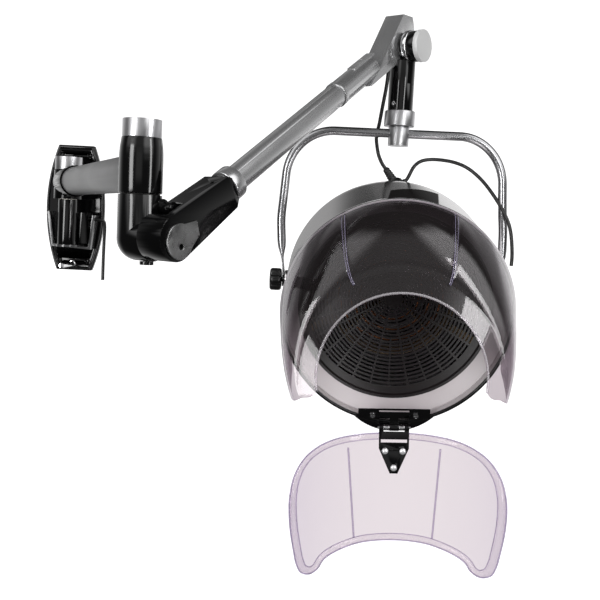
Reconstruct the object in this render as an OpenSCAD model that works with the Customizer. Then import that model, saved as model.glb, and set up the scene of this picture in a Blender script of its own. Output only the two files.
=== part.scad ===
// Wall-hung hood dryer: wall bracket, two-part arm, yoke, chrome hood and two clear visors.
// Millimetres, Z up. Origin: centre of the wall plate's back face; the wall is the plane y = 0.
// The room is on the -Y side of the wall.

/* [Wall bracket] */
// height of the wall plate
plate_height = 232; // [225:1:240]
// half of the plate's width at its widest
plate_half_width = 54; // [52:1:58]
// thickness of the plate without its rim
plate_thick = 14; // [12:1:15]
// distance from the wall to the vertical post
axis_out = 62; // [61:1:64]
// radius of the post the arm turns on
post_r = 12; // [10:0.5:12.5]
// radius of the four screw holes
screw_hole_r = 3.5; // [2.5:0.5:4]

/* [First arm] */
// radius of the first arm's tube
first_r = 24; // [22:0.5:24]
// height of the first arm above the plate's centre
arm_z = 46; // [44:1:47]
// distance from the post to the elbow
first_len = 545; // [480:5:600]
// direction of the first arm at rest, from the wall's normal, degrees
first_yaw = 24.5; // [0:0.5:60]

/* [Spring arm] */
// turn of the elbow at rest, degrees
elbow_turn = 119; // [90:1:125]
// sideways distance from the elbow's axis to the spring arm's middle
plane_off = 48; // [48:0.5:52]
// height of the tilt pin below the plate's centre, negative
tilt_z = -35; // [-37:0.5:-35]
// rise of the spring arm at rest, degrees
lift = 32.4; // [10:0.1:38]
// distance between the spring arm's two pivots
spring_len = 600; // [580:5:640]
// radius of the spring arm's tube
tube_r = 17.5; // [17:0.1:17.5]
// distance from the tube's axis to the line between the pivots
tube_rise = 4; // [3:0.25:4.5]

/* [Drop head] */
// distance from the arm's middle plane to the drop tube's axis
drop_n = 15; // [14:0.5:15]
// height of the head pivot above the hood's centre
drop_len = 389.2; // [385:0.2:400]
// radius of the drop tube
drop_r = 20.5; // [19:0.5:21]

/* [Yoke] */
// radius of the yoke's tube
yoke_r = 7.3; // [6:0.1:7.5]
// height of the yoke's bar above the hood's centre
yoke_bar_z = 250; // [248:1:256]
// half of the bar's straight length
yoke_bar_half = 107; // [106:0.5:109]
// turn of the hood about the drop tube at rest, degrees
hood_yaw = -1.4; // [-20:0.1:20]

/* [Hood] */
// outer radius of the hood
hood_r = 172.5; // [171:0.25:173]
// wall of the hood
hood_wall = 2.5; // [2:0.25:3]
// length of the hood's straight part
hood_depth = 166; // [166:0.5:168]
// tilt of the opening below level at rest, degrees
hood_tilt = 11; // [0:0.5:20]
// rings of slots in the basket
basket_rings = 10; // [8:1:11]
// ribs across the slots
basket_ribs = 12; // [8:1:16]

/* [Visors] */
// turn of the two visors about the hood's axis, degrees
visor_clock = 2.5; // [0:0.5:4]
// opening of the lower visor at rest, degrees
visor_open = 78; // [20:1:95]
// wall of the visors
visor_wall = 3; // [2.5:0.25:3]
// upper visor's arch radius
arch_r = 115; // [110:1:118]

/* [Hidden] */
$fa = 4;
$fs = 1.2;
gap = 0.05;
head_heading = first_yaw - 90 + elbow_turn;
plate_arc_r = 331;
plate_arc_x = plate_arc_r - plate_half_width;
rim_h = 2;
knuckle_z = [15.5, 66.5];
bush_r = 16;
sleeve_r = 27;
elbow_socket = first_len - 18;
hub_r = 8;
basket_z = 352;
basket_sphere = 266;
hinge_y = -178;
hinge_z = 180;
hinge_pin_r = 2;
hood_in = hood_r - hood_wall;
spindle_r = 9;
bend_r = 80;
bend_turn = 86;
leg_r = 150;
leg_turn = 12;

// ---- frames ----
module wall_frame() {
    translate([0, -axis_out, 0]) children();
}
module first_frame() {
    wall_frame() rotate([0, 0, first_yaw - 90]) children();
}
module elbow_frame() {
    first_frame() translate([first_len, 0, 0]) rotate([0, 0, elbow_turn]) children();
}
module tilt_frame() {
    elbow_frame() translate([0, -plane_off, tilt_z]) children();
}
module spring_frame() {
    tilt_frame() rotate([0, -lift, 0]) children();
}
module head_frame() {
    tilt_frame() translate([spring_len * cos(lift), 0, spring_len * sin(lift)]) children();
}
// the bracket at the arm's end keeps the slope it has at the rest lift
module bracket_frame() {
    head_frame() rotate([0, 32.4 - lift, 0]) children();
}
module yoke_frame() {
    head_frame() translate([0, -drop_n, -drop_len]) rotate([0, 0, hood_yaw - head_heading]) children();
}
module hood_frame() {
    yoke_frame() rotate([90 + hood_tilt, 0, 0]) children();
}
module clock_frame() {
    hood_frame() rotate([0, 0, visor_clock]) children();
}
module visor_frame() {
    clock_frame() translate([0, hinge_y, hinge_z]) rotate([visor_open, 0, 0]) children();
}
module boot_frame() {
    hood_frame() rotate([-113, 0, 0]) translate([4, 0, hood_r - 1.5]) children();
}

// ---- shared shapes ----
// cylinder along -Y, from a to b
module n_cyl(r, a, b) {
    rotate([90, 0, 0]) translate([0, 0, a]) cylinder(r = r, h = b - a);
}
// plate drawn in X and Z, from a to b along -Y
module n_plate(a, b) {
    rotate([90, 0, 0]) translate([0, 0, a]) linear_extrude(b - a) children();
}
// cylinder along X, from a to b
module x_cyl(r, a, b) {
    rotate([0, 90, 0]) translate([0, 0, a]) cylinder(r = r, h = b - a);
}
// cylinder along Z, from a to b
module z_cyl(r, a, b) {
    translate([0, 0, a]) cylinder(r = r, h = b - a);
}
// ring along Z
module z_ring(r_out, r_in, a, b) {
    difference() {
        z_cyl(r_out, a, b);
        z_cyl(r_in, a - 1, b + 1);
    }
}
// box given by its two corners
module box(p, q) {
    translate(p) cube(q - p);
}

// one step of rounding an open path
function chaikin(p) = concat([p[0]],
    [for (i = [0 : len(p) - 2]) each [0.75 * p[i] + 0.25 * p[i + 1], 0.25 * p[i] + 0.75 * p[i + 1]]],
    [p[len(p) - 1]]);
function smooth(p, n) = n == 0 ? p : smooth(chaikin(p), n - 1);
function unit(v) = v / norm(v);
function path_dir(p, i) = unit(p[min(i + 1, len(p) - 1)] - p[max(i - 1, 0)]);
// round cord along a path that never runs parallel to ref
module cord(path, r, ref = [0, 1, 0], sides = 12) {
    rings = [for (i = [0 : len(path) - 1])
        let (t = path_dir(path, i), b = unit(cross(ref, t)), c = cross(t, b))
        each [for (k = [0 : sides - 1])
            path[i] + r * (cos(360 * k / sides) * b + sin(360 * k / sides) * c)]];
    last = (len(path) - 1) * sides;
    walls = [for (i = [0 : len(path) - 2], k = [0 : sides - 1])
        let (a = i * sides + k, b = i * sides + (k + 1) % sides, c = b + sides, d = a + sides)
        each [[a, d, c], [a, c, b]]];
    ends = [[for (k = [0 : sides - 1]) k], [for (k = [0 : sides - 1]) last + sides - 1 - k]];
    polyhedron(points = rings, faces = concat(walls, ends));
}
// closed wall between two matching grids of points, rows of n
module grid_shell(outer, inner, rows, n) {
    m = rows * n;
    function quad(a, b, c, d) = [[a, b, c], [a, c, d]];
    skins = [for (j = [0 : rows - 2], i = [0 : n - 2])
        let (a = j * n + i, b = a + 1, c = b + n, d = a + n)
        each concat(quad(a, b, c, d), quad(m + d, m + c, m + b, m + a))];
    long_edges = [for (i = [0 : n - 2])
        let (a = i, b = i + 1, e = (rows - 1) * n + i, f = e + 1)
        each concat(quad(b, a, m + a, m + b), quad(e, f, m + f, m + e))];
    short_edges = [for (j = [0 : rows - 2])
        let (a = j * n, d = a + n, b = a + n - 1, c = b + n)
        each concat(quad(a, d, m + d, m + a), quad(c, b, m + b, m + c))];
    polyhedron(points = concat(outer, inner), faces = concat(skins, long_edges, short_edges));
}

// ---- wall bracket ----
module plate_outline(inset) {
    intersection() {
        translate([-80, -plate_height / 2 + inset]) square([160, plate_height - 2 * inset]);
        translate([-plate_arc_x, 0]) circle(r = plate_arc_r - inset, $fn = 180);
        translate([plate_arc_x, 0]) circle(r = plate_arc_r - inset, $fn = 180);
    }
}
module wall_plate() {
    color([0.03, 0.03, 0.03]) difference() {
        union() {
            n_plate(0, plate_thick - 3) plate_outline(0);
            n_plate(plate_thick - 3, plate_thick + rim_h) plate_outline(2);
        }
        n_plate(plate_thick, plate_thick + rim_h + 1) plate_outline(6);
        for (x = [-26, 26], z = [-98, 98])
            translate([x, 0, z]) n_cyl(screw_hole_r, -1, 30);
    }
}
module pivot_bracket() {
    color([0.22, 0.22, 0.23]) difference() {
        union() {
            n_plate(plate_thick, 46) polygon([[-42, -8], [-33, -71], [38, -75], [45, -12],
                [40.5, -12], [34, -70.5], [-28.5, -66.5], [-37.5, -8]]);
            box([-19, -axis_out, -71], [19, -plate_thick, -67]);
            wall_frame() z_cyl(19, -71, -67);
        }
        translate([0, -30, -20]) x_cyl(4, 34, 60);
        box([-30, -60, -67], [30, -40, -60]);
    }
}
module bracket_box() {
    color([0.05, 0.05, 0.05]) difference() {
        box([3, -56, -64], [33.5, -plate_thick, -8]);
        wall_frame() z_cyl(18.5, -70, 0);
        translate([0, -30, -20]) x_cyl(3.1, 24, 41);
    }
}
module wall_post() {
    color([0.04, 0.04, 0.04]) wall_frame() {
        z_cyl(17, -67, 14);
        z_cyl(post_r, 14, 88);
    }
}
module wall_cap() {
    color([0.85, 0.85, 0.87]) wall_frame() difference() {
        z_cyl(24, 67.5, 90.5);
        z_cyl(post_r, 67, 88);
    }
}
module wall_stud() {
    color([0.8, 0.8, 0.82]) translate([-1, 0, -104]) {
        n_cyl(4.4, plate_thick, 92);
        rotate([90, 0, 0]) translate([0, 0, plate_thick]) cylinder(r = 6.5, h = 5, $fn = 6);
    }
}
module power_cord() {
    color([0.03, 0.03, 0.03])
        cord(smooth([[26, -30, -20], [50, -30, -20], [59, -29, -21], [60, -26, -34], [58, -22, -60],
            [57, -20, -100], [57, -20, -132]], 2), 3);
}
module wall_bushes() {
    color([0.75, 0.75, 0.7]) wall_frame() {
        z_ring(bush_r, post_r + gap, 14, 34);
        z_ring(bush_r, post_r + gap, 48, 66.5);
    }
}

// ---- first arm ----
module wall_knuckle() {
    color([0.04, 0.04, 0.04]) first_frame() difference() {
        union() {
            z_cyl(25, knuckle_z[0], knuckle_z[1]);
            translate([0, 0, arm_z]) x_cyl(sleeve_r, 0, 78);
        }
        z_cyl(bush_r, 10, 80);
        translate([0, 0, arm_z]) x_cyl(first_r, 30, 80);
        box([-30, -30, knuckle_z[1]], [26, 30, 80]);
    }
}
module first_tube() {
    color([0.62, 0.62, 0.62]) first_frame() translate([0, 0, arm_z]) difference() {
        x_cyl(first_r, 30, elbow_socket - 0.5);
        x_cyl(first_r - 2.5, 29, elbow_socket);
    }
}
module elbow_sleeve() {
    color([0.04, 0.04, 0.04]) first_frame() difference() {
        translate([first_len, 0, 0]) rotate_extrude() polygon([[post_r, 20.5], [26.5, 20.5],
            [sleeve_r, 21.5], [sleeve_r, 60], [26.8, 68], [26.3, 76], [24.6, 88], [post_r, 88]]);
        translate([0, 0, arm_z]) x_cyl(first_r, 400, elbow_socket);
    }
}
module elbow_cap() {
    color([0.85, 0.85, 0.87]) first_frame() translate([first_len, 0, 0]) difference() {
        z_cyl(24, 88, 110);
        z_cyl(post_r, 87, 102);
    }
}
module elbow_post() {
    color([0.5, 0.5, 0.5]) first_frame() translate([first_len, 0, 0]) z_cyl(post_r, -8, 102);
}

// ---- elbow ----
module elbow_housing() {
    color([0.04, 0.04, 0.04]) elbow_frame() difference() {
        union() {
            z_cyl(sleeve_r, tilt_z, 18.5);
            translate([0, 0, tilt_z]) sphere(r = sleeve_r, $fn = 72);
            translate([0, 0, tilt_z]) n_cyl(sleeve_r, 0, 26.5);
            n_plate(18, 26.5) {
                translate([14, 4]) circle(r = 11);
                polygon([[3, 4], [-6, tilt_z], [26, tilt_z], [25, 4]]);
            }
        }
        z_cyl(bush_r, -10, 20);
        translate([0, 0, tilt_z]) n_cyl(hub_r, 8, 30);
        translate([14, 0, 4]) n_cyl(4, 17, 30);
        translate([0, -15, 0]) z_cyl(4 + gap, tilt_z - 30, tilt_z - 15);
    }
}
module elbow_bush() {
    color([0.08, 0.08, 0.08]) elbow_frame() z_ring(bush_r, post_r + gap, -10, 18.4);
}
module spring_anchor() {
    color([0.08, 0.08, 0.08]) elbow_frame() translate([14, 0, 4]) {
        n_cyl(4, 18, 27);
        n_cyl(8, 26.5, 44);
        rotate([90, 0, 0]) translate([0, 0, 44]) cylinder(r = 5, h = 3, $fn = 6);
    }
}
module tilt_pin() {
    color([0.5, 0.5, 0.5]) elbow_frame() translate([0, 0, tilt_z]) n_cyl(hub_r, 8, 66);
}
module friction_knob() {
    color([0.04, 0.04, 0.04]) elbow_frame() translate([0, -15, 0]) difference() {
        union() {
            z_cyl(8.5, tilt_z - 31.6, tilt_z - 27.4);
            z_cyl(4, tilt_z - 28, tilt_z - 16);
        }
        box([-6, -0.8, tilt_z - 33], [6, 0.8, tilt_z - 30.4]);
    }
}

// ---- spring arm ----
module arm_housing() {
    color([0.04, 0.04, 0.04]) spring_frame() difference() {
        union() {
            difference() {
                n_plate(-20, 20) {
                    translate([0, 3.5]) circle(r = 28);
                    polygon([[0, 31.5], [115, 24.5], [121, 19.5], [121, -10], [113, -18.5], [0, -24.5]]);
                }
                n_plate(-15.5, 15.5) {
                    translate([0, 3.5]) circle(r = 24.5);
                    polygon([[0, 28], [112, 21], [112, -15], [0, -21]]);
                }
            }
            n_cyl(13, 9, 16);
            n_cyl(13, -16, -9);
        }
        n_cyl(hub_r + gap, -21, 18.2);
        translate([0, 0, tube_rise]) x_cyl(tube_r + gap, 99, 125);
        n_plate(-21, 8) difference() {
            intersection() {
                circle(r = 51);
                polygon([[0, 0], [80 * cos(6), 80 * sin(6)], [60, 60], [0, 80], [80 * cos(110), 80 * sin(110)]]);
            }
            circle(r = 32);
        }
        translate([97, -7.8, 0]) z_cyl(2.5, 15, 30);
    }
}
module side_cover() {
    color([0.75, 0.75, 0.76]) spring_frame() difference() {
        union() {
            translate([1, 0, -1]) n_cyl(22, 20, 23);
            n_plate(20, 23) polygon([[1, 20], [37.6, 6.8], [33, -11.3], [3, -22]]);
        }
        translate([-1, 0, -7.2]) n_cyl(3.5, 19, 24);
    }
}
module arm_collar() {
    color([0.66, 0.66, 0.67]) spring_frame() translate([0, 0, tube_rise]) rotate([0, 90, 0])
        z_ring(22.8, tube_r, 121.2, 140);
}
module arm_tube() {
    color([0.65, 0.65, 0.66]) spring_frame() translate([0, 0, tube_rise]) rotate([0, 90, 0])
        z_ring(tube_r, tube_r - 2, 100, 430);
}
module end_sleeve() {
    color([0.65, 0.65, 0.66]) spring_frame() translate([0, 0, tube_rise]) difference() {
        union() {
            x_cyl(tube_r + 0.9, spring_len - 195, spring_len - 88);
            x_cyl(tube_r + 1.6, spring_len - 195, spring_len - 186);
            box([spring_len - 139, -8.5, 15], [spring_len - 78, 6.5, tube_r + 1.9]);
        }
        x_cyl(tube_r, 300, spring_len - 170);
        x_cyl(tube_r - 3, 300, spring_len - 76);
        translate([spring_len - 105, 1, 0]) z_cyl(2.5, 10, 30);
    }
}
module head_bracket() {
    color([0.6, 0.6, 0.61]) difference() {
        bracket_frame() difference() {
            union() {
                difference() {
                    n_plate(-17, 17) polygon([[-94, -76.7], [-9, 51], [20, 52.5], [27, 38], [33, 4]]);
                    n_plate(-15, 15) polygon([[-85, -67.4], [-8, 47.7], [18.3, 49.2], [24, 37.3], [29.8, 5.4]]);
                }
                n_cyl(12, -16, 16);
            }
            n_cyl(hub_r + gap, -15.2, 18);
            translate([-28, -5.5, 0]) z_cyl(4, -60, -20);
        }
        spring_frame() translate([0, 0, tube_rise]) x_cyl(tube_r + 0.9 + gap, 400, spring_len - 88);
    }
}
module balance_spring() {
    turns = 15;
    steps = 15;
    color([0.5, 0.5, 0.52]) spring_frame() translate([0, 0, tube_rise])
        cord([for (i = [0 : turns * steps])
            [152 + 172 * i / (turns * steps), 11 * cos(360 * i / steps), 11 * sin(360 * i / steps)]],
            1.6, [1, 0, 0], 8);
}
module spring_rod() {
    color([0.55, 0.55, 0.55]) spring_frame() translate([0, 0, tube_rise]) {
        x_cyl(4, 60, 330);
        x_cyl(tube_r - 2 - gap, 326, 330);
        rotate([0, 90, 0]) z_ring(tube_r - 2, 6, 142, 150);
    }
}

// ---- drop head ----
module hub_washer() {
    color([0.04, 0.04, 0.04]) head_frame() difference() {
        n_cyl(23, 17.2, 23.5);
        n_cyl(hub_r, 16, 25);
    }
}
module hub_ring() {
    color([0.85, 0.85, 0.87]) head_frame() difference() {
        n_cyl(26, 23.6, 32);
        n_cyl(hub_r, 20, 33);
    }
}
module drop_knuckle() {
    color([0.04, 0.04, 0.04]) head_frame() difference() {
        union() {
            n_cyl(24.5, 32.1, 45.5);
            intersection() {
                translate([0, -drop_n, 0]) z_cyl(drop_r, -60, -10);
                box([-30, -60, -60], [30, -32.2, -10]);
            }
        }
        n_cyl(hub_r, 30, 47);
    }
}
module hub_cap() {
    color([0.78, 0.78, 0.78]) head_frame() n_cyl(25.5, 45.6, 53);
}
module hub_axle() {
    color([0.5, 0.5, 0.5]) head_frame() n_cyl(hub_r, -15, 45.5);
}
module drop_tube() {
    color([0.04, 0.04, 0.04]) head_frame() difference() {
        translate([0, -drop_n, 0]) z_cyl(drop_r, -103.1, -23.6);
        n_plate(-20, 17.6) polygon([[-30, -46], [-20.5, -38], [0, -21], [21, -27], [30, -29.5], [30, 0], [-30, 0]]);
        box([-30, -60, -60.2], [30, -32.1, -20]);
        translate([0, -drop_n, 0]) z_cyl(17, -110, -52);
        translate([0, -drop_n, -93]) x_cyl(2, -30, -10);
        n_cyl(26.2, 23, 60);
    }
}
module tube_screw() {
    color([0.8, 0.8, 0.82]) head_frame() translate([0, -drop_n, -93]) difference() {
        union() {
            x_cyl(2, -21, -17);
            x_cyl(3.5, -drop_r - 1.8, -drop_r - 0.1);
        }
        box([-24, -2.5, -0.4], [-drop_r - 1.2, 2.5, 0.4]);
        box([-24, -0.4, -2.5], [-drop_r - 1.2, 0.4, 2.5]);
    }
}
module drop_collar() {
    color([0.85, 0.85, 0.87]) head_frame() translate([0, -drop_n, 0])
        z_ring(25, spindle_r + 0.3, -128, -103.1);
}
module swivel_bush() {
    color([0.75, 0.75, 0.7]) head_frame() translate([0, -drop_n, 0]) z_ring(17, spindle_r + gap, -100, -80);
}
module head_cable() {
    color([0.03, 0.03, 0.03]) head_frame()
        cord(smooth([[-28, -5.5, -47], [-27, -3, -66], [-25, 2, -88], [-20, 8, -105], [-14, 14.5, -124]], 2), 3);
}

// ---- yoke ----
module yoke_boss() {
    color([0.85, 0.85, 0.87]) yoke_frame() difference() {
        union() {
            z_cyl(17, drop_len - 159.4, drop_len - 128.5);
            z_cyl(spindle_r, drop_len - 130, drop_len - 74);
            z_cyl(12, drop_len - 79.8, drop_len - 75);
        }
        translate([0, 0, yoke_bar_z]) x_cyl(yoke_r, -20, 20);
    }
}
// points along the right half of the yoke's centre line, from the bar's middle to the end
function arc_points(centre, r, from, sweep, steps) = [for (k = [1 : steps])
    let (q = from - sweep * k / steps) centre + r * [cos(q), sin(q)]];
yoke_c1 = [yoke_bar_half, yoke_bar_z - bend_r];
yoke_p1 = yoke_c1 + bend_r * [cos(90 - bend_turn), sin(90 - bend_turn)];
yoke_p2 = yoke_p1 + 55 * [cos(bend_turn), -sin(bend_turn)];
yoke_c2 = yoke_p2 - leg_r * [cos(90 - bend_turn), sin(90 - bend_turn)];
yoke_a3 = 90 - bend_turn - leg_turn;
yoke_p3 = yoke_c2 + leg_r * [cos(yoke_a3), sin(yoke_a3)];
yoke_side = concat([[0, yoke_bar_z], [yoke_bar_half, yoke_bar_z]],
    arc_points(yoke_c1, bend_r, 90, bend_turn, 20), [yoke_p2],
    arc_points(yoke_c2, leg_r, 90 - bend_turn, leg_turn, 5),
    [yoke_p3 + 62 * [cos(yoke_a3 - 90), sin(yoke_a3 - 90)]]);
yoke_path = concat([for (k = [len(yoke_side) - 1 : -1 : 1]) [-yoke_side[k][0], 0, yoke_side[k][1]]],
    [for (p = yoke_side) [p[0], 0, p[1]]]);
module yoke_tab() {
    difference() {
        union() {
            x_cyl(11, 177, 181);
            box([177, -11, 0], [181, 11, 32]);
        }
        x_cyl(4.6, 170, 190);
    }
}
module yoke_tube() {
    color([0.8, 0.8, 0.82]) yoke_frame() {
        cord(yoke_path, yoke_r, [0, 1, 0], 24);
        yoke_tab();
        mirror([1, 0, 0]) yoke_tab();
    }
}
module lamp_cable() {
    color([0.03, 0.03, 0.03]) yoke_frame()
        cord(smooth([[16, 30, 196], [34, 38, 208], [62, 46, 216], [112, 41, 210], [144, 26, 186],
            [168, -1, 150], [183, -14, 122], [192, -15, 100], [198, -10, 62], [198, -8, 42]], 2), 3);
}
module knob() {
    difference() {
        union() {
            x_cyl(18, 181.5, 201);
            for (k = [0 : 5]) rotate([60 * k, 0, 0]) translate([0, 0, 14.5]) x_cyl(5, 183, 201);
        }
        x_cyl(9, 198.5, 203);
    }
    x_cyl(4, 170.5, 183);
}
module knob_left() {
    color([0.04, 0.04, 0.04]) yoke_frame() mirror([1, 0, 0]) knob();
}
module knob_right() {
    color([0.04, 0.04, 0.04]) yoke_frame() knob();
}

// ---- hood ----
module outer_shell() {
    color([0.8, 0.8, 0.82]) hood_frame() difference() {
        union() {
            difference() {
                sphere(r = hood_r, $fn = 160);
                translate([-200, -200, 0]) cube([400, 400, 200]);
            }
            cylinder(r = hood_r, h = hood_depth, $fn = 160);
            for (s = [-1, 1]) rotate([0, 90 * s, 0]) z_cyl(16, hood_r - 6, hood_r + 4);
        }
        difference() {
            sphere(r = hood_in, $fn = 160);
            translate([-200, -200, 0]) cube([400, 400, 200]);
        }
        translate([0, 0, -0.01]) cylinder(r = hood_in, h = 200, $fn = 160);
        x_cyl(4 + gap, -200, 200);
        rotate([-113, 0, 0]) translate([4, 0, 160]) cylinder(r = 5, h = 20);
    }
}
module rim_trim() {
    color([0.04, 0.04, 0.04]) hood_frame() z_ring(hood_r + 1.5, hood_in - 0.5, hood_depth, hood_depth + 6.5, $fn = 160);
}
module inner_basket() {
    pitch = 130 / basket_rings;
    color([0.03, 0.03, 0.03]) hood_frame() difference() {
        union() {
            z_ring(hood_in - 0.2, 157, 136, 138.5, $fn = 160);
            difference() {
                intersection() {
                    translate([0, 0, basket_z]) sphere(r = basket_sphere + 2.5, $fn = 160);
                    z_cyl(158, 80, 138.5, $fn = 160);
                }
                translate([0, 0, basket_z]) sphere(r = basket_sphere, $fn = 160);
            }
        }
        difference() {
            for (k = [0 : basket_rings - 1])
                z_ring(22 + k * pitch + pitch * 0.55, 22 + k * pitch, 70, 150, $fn = 120);
            for (k = [0 : basket_ribs / 2 - 1]) rotate([0, 0, 180 * k / (basket_ribs / 2)])
                translate([-160, -2, 60]) cube([320, 4, 100]);
        }
    }
}
// upper visor: point on its outer or inner skin, s across from -1 to 1, v from rim to arch
function legs_end(v) = (v < 0.7 ? 116.5 - 15 * v / 0.7 : 101.5 + 3 * (v - 0.7) / 0.3) + 4.5 * sin(180 * v);
function corner_cut(v) = 5 * pow(max(0, abs(2 * v - 1) - 0.8) / 0.2, 2);
function visor_point(s, v, w) =
    let (q = s * (legs_end(v) - corner_cut(v)), sq = sin(q), cq = cos(q), ra = hood_r + 2 - w, k = arch_r - 115,
        a = [ra * sq, ra * cq, hood_depth + 6.6],
        a2 = [ra * sq, ra * cq, hood_depth + 66],
        b = [(140 + k - w) * sq, -50 + (140 + k - w) * cq, 297 - w / 2 - 32.7 * cq],
        b2 = [(177 + k - w) * sq, -50 + (177 + k - w) * cq, 293 - w / 2 - 32.7 * cq],
        c = [(115 + k) * sq, -50 + (115 + k) * 0.972 * cq, 305 - w - 26.8 * cq],
        t = min(1, v / 0.7), u = max(0, (v - 0.7) / 0.3))
    v <= 0.7 ? pow(1 - t, 3) * a + 3 * t * pow(1 - t, 2) * a2 + 3 * t * t * (1 - t) * b2 + pow(t, 3) * b
             : (1 - u) * b + u * c;
module upper_visor() {
    across = 48;
    rows = [for (k = [0 : 14]) k / 14];
    outer = [for (v = rows, i = [0 : across]) visor_point(2 * i / across - 1, v, 0)];
    inner = [for (v = rows, i = [0 : across]) visor_point(2 * i / across - 1, v, visor_wall)];
    color([0.62, 0.56, 0.6, 0.4]) clock_frame() grid_shell(outer, inner, len(rows), across + 1);
}
module hinge_plate() {
    color([0.04, 0.04, 0.04]) clock_frame() difference() {
        union() {
            box([-55, -165.5, hood_depth + 7], [55, -149.5, hood_depth + 9.5]);
            box([-7, hinge_y, hood_depth + 7], [7, -162, hood_depth + 9.5]);
            translate([0, hinge_y, hinge_z]) x_cyl(5.2, -7, 7);
            box([-7, hinge_y, hood_depth + 7], [7, hinge_y + 5, hinge_z + 3]);
        }
        box([-23, -155, hood_depth], [23, -152, hood_depth + 12]);
        for (x = [-33, 33]) translate([x, -160, 0]) z_cyl(2.05, hood_depth, hood_depth + 12);
        translate([0, hinge_y, hinge_z]) x_cyl(hinge_pin_r, -30, 30);
    }
}
module hinge_screws() {
    color([0.8, 0.8, 0.82]) clock_frame() for (x = [-33, 33]) translate([x, -160, 0]) difference() {
        union() {
            z_cyl(2, hood_depth + 7, hood_depth + 10);
            z_cyl(4, hood_depth + 9.5, hood_depth + 11.3);
        }
        box([-2.8, -0.5, hood_depth + 10.6], [2.8, 0.5, hood_depth + 12]);
        box([-0.5, -2.8, hood_depth + 10.6], [0.5, 2.8, hood_depth + 12]);
    }
}
module hinge_apron() {
    color([0.05, 0.05, 0.05]) clock_frame() difference() {
        translate([0, -100, hood_depth - 6]) cylinder(r = 88, h = 11, $fn = 120);
        z_cyl(hood_r + 1.6, 0, 200, $fn = 160);
    }
}
module hinge_pin() {
    color([0.7, 0.7, 0.7]) clock_frame() translate([0, hinge_y, hinge_z]) x_cyl(hinge_pin_r, -25, 25);
}
module hinge_springs() {
    color([0.85, 0.85, 0.87]) clock_frame() translate([0, hinge_y, hinge_z])
        for (s = [-1, 1]) translate([s * 11.5, 0, 0]) rotate([0, 90, 0])
            z_ring(4.6, hinge_pin_r, -4.2, 4.2);
}
module motor_plate() {
    color([0.6, 0.6, 0.62]) hood_frame() intersection() {
        sphere(r = hood_in - 0.1, $fn = 160);
        union() {
            z_cyl(118, -121, -119);
            for (k = [0 : 2]) rotate([0, 0, 120 * k + 30]) translate([70, 0, 0]) z_cyl(5, -170, -120);
        }
    }
}
module motor() {
    color([0.35, 0.35, 0.36]) hood_frame() {
        z_cyl(38, -119, -60);
        z_cyl(4, -60, -18);
    }
}
module fan() {
    color([0.2, 0.2, 0.2]) hood_frame() difference() {
        union() {
            z_cyl(16, -52, -14);
            z_ring(75, 72, -20, -14);
            for (k = [0 : 7]) rotate([0, 0, 45 * k]) translate([10, -1, -50]) cube([63, 2, 32]);
        }
        z_cyl(4 + gap, -60, -17);
    }
}
module heater_frame() {
    color([0.75, 0.7, 0.6]) hood_frame() difference() {
        union() {
            z_ring(106, 104, 5, 50);
            for (k = [0 : 1]) rotate([0, 0, 90 * k + 45]) translate([-105, -1, 12]) cube([210, 2, 34]);
            intersection() {
                z_cyl(hood_in - 0.1, 20, 40, $fn = 160);
                for (k = [0 : 2]) rotate([0, 0, 120 * k + 90]) translate([105, -6, 28]) cube([80, 12, 2]);
            }
        }
        for (r = [50, 68, 86]) translate([0, 0, 29]) rotate_extrude() translate([r, 0]) circle(r = 3.3, $fn = 24);
    }
}
module heater_coil() {
    color([0.7, 0.45, 0.3]) hood_frame() for (r = [50, 68, 86])
        translate([0, 0, 29]) rotate_extrude() translate([r, 0]) circle(r = 3, $fn = 24);
}
module cable_boot() {
    color([0.04, 0.04, 0.04]) boot_frame() difference() {
        union() {
            z_cyl(13, 1.6, 6);
            translate([0, 0, 6]) cylinder(r1 = 12, r2 = 8, h = 5);
            rotate([30, -42, 0]) {
                z_cyl(4.8, 6, 36);
                for (k = [0 : 3]) z_cyl(6.4 - 0.4 * k, 14 + 5 * k, 17 + 5 * k);
            }
            rotate([0, 62, 0]) z_cyl(4.4, 6, 18);
        }
        sphere(r = 1);
        translate([-4, 0, 1.5 - hood_r]) sphere(r = hood_r, $fn = 160);
        rotate([30, -42, 0]) z_cyl(3, 20, 40);
    }
}
module hood_cable() {
    color([0.03, 0.03, 0.03]) boot_frame() rotate([30, -42, 0]) z_cyl(3, 20, 37);
    color([0.03, 0.03, 0.03]) hood_frame()
        cord(smooth([[-16.5, 183.5, -58], [-22, 191, -58.5], [-29, 205, -64], [-32, 216, -68], [-33, 227, -68.5]], 2), 3);
}

// ---- lower visor ----
module visor_outline(inset) {
    difference() {
        union() {
            for (s = [-1, 1]) {
                translate([90 * s, 80]) circle(r = 60 - inset, $fn = 96);
                translate([121.5 * s, 195.5]) circle(r = 14.5 - inset, $fn = 48);
            }
            polygon([[-90, 20 + inset], [90, 20 + inset], [150 - inset, 80], [150 - inset, 100],
                [136 - inset, 195.5], [121.5, 210 - inset], [-121.5, 210 - inset],
                [-136 + inset, 195.5], [-150 + inset, 100], [-150 + inset, 80]]);
        }
        intersection() {
            translate([0, 460]) circle(r = 284 + inset, $fn = 160);
            translate([-107 - inset, 100]) square([214 + 2 * inset, 200]);
        }
    }
}
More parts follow.
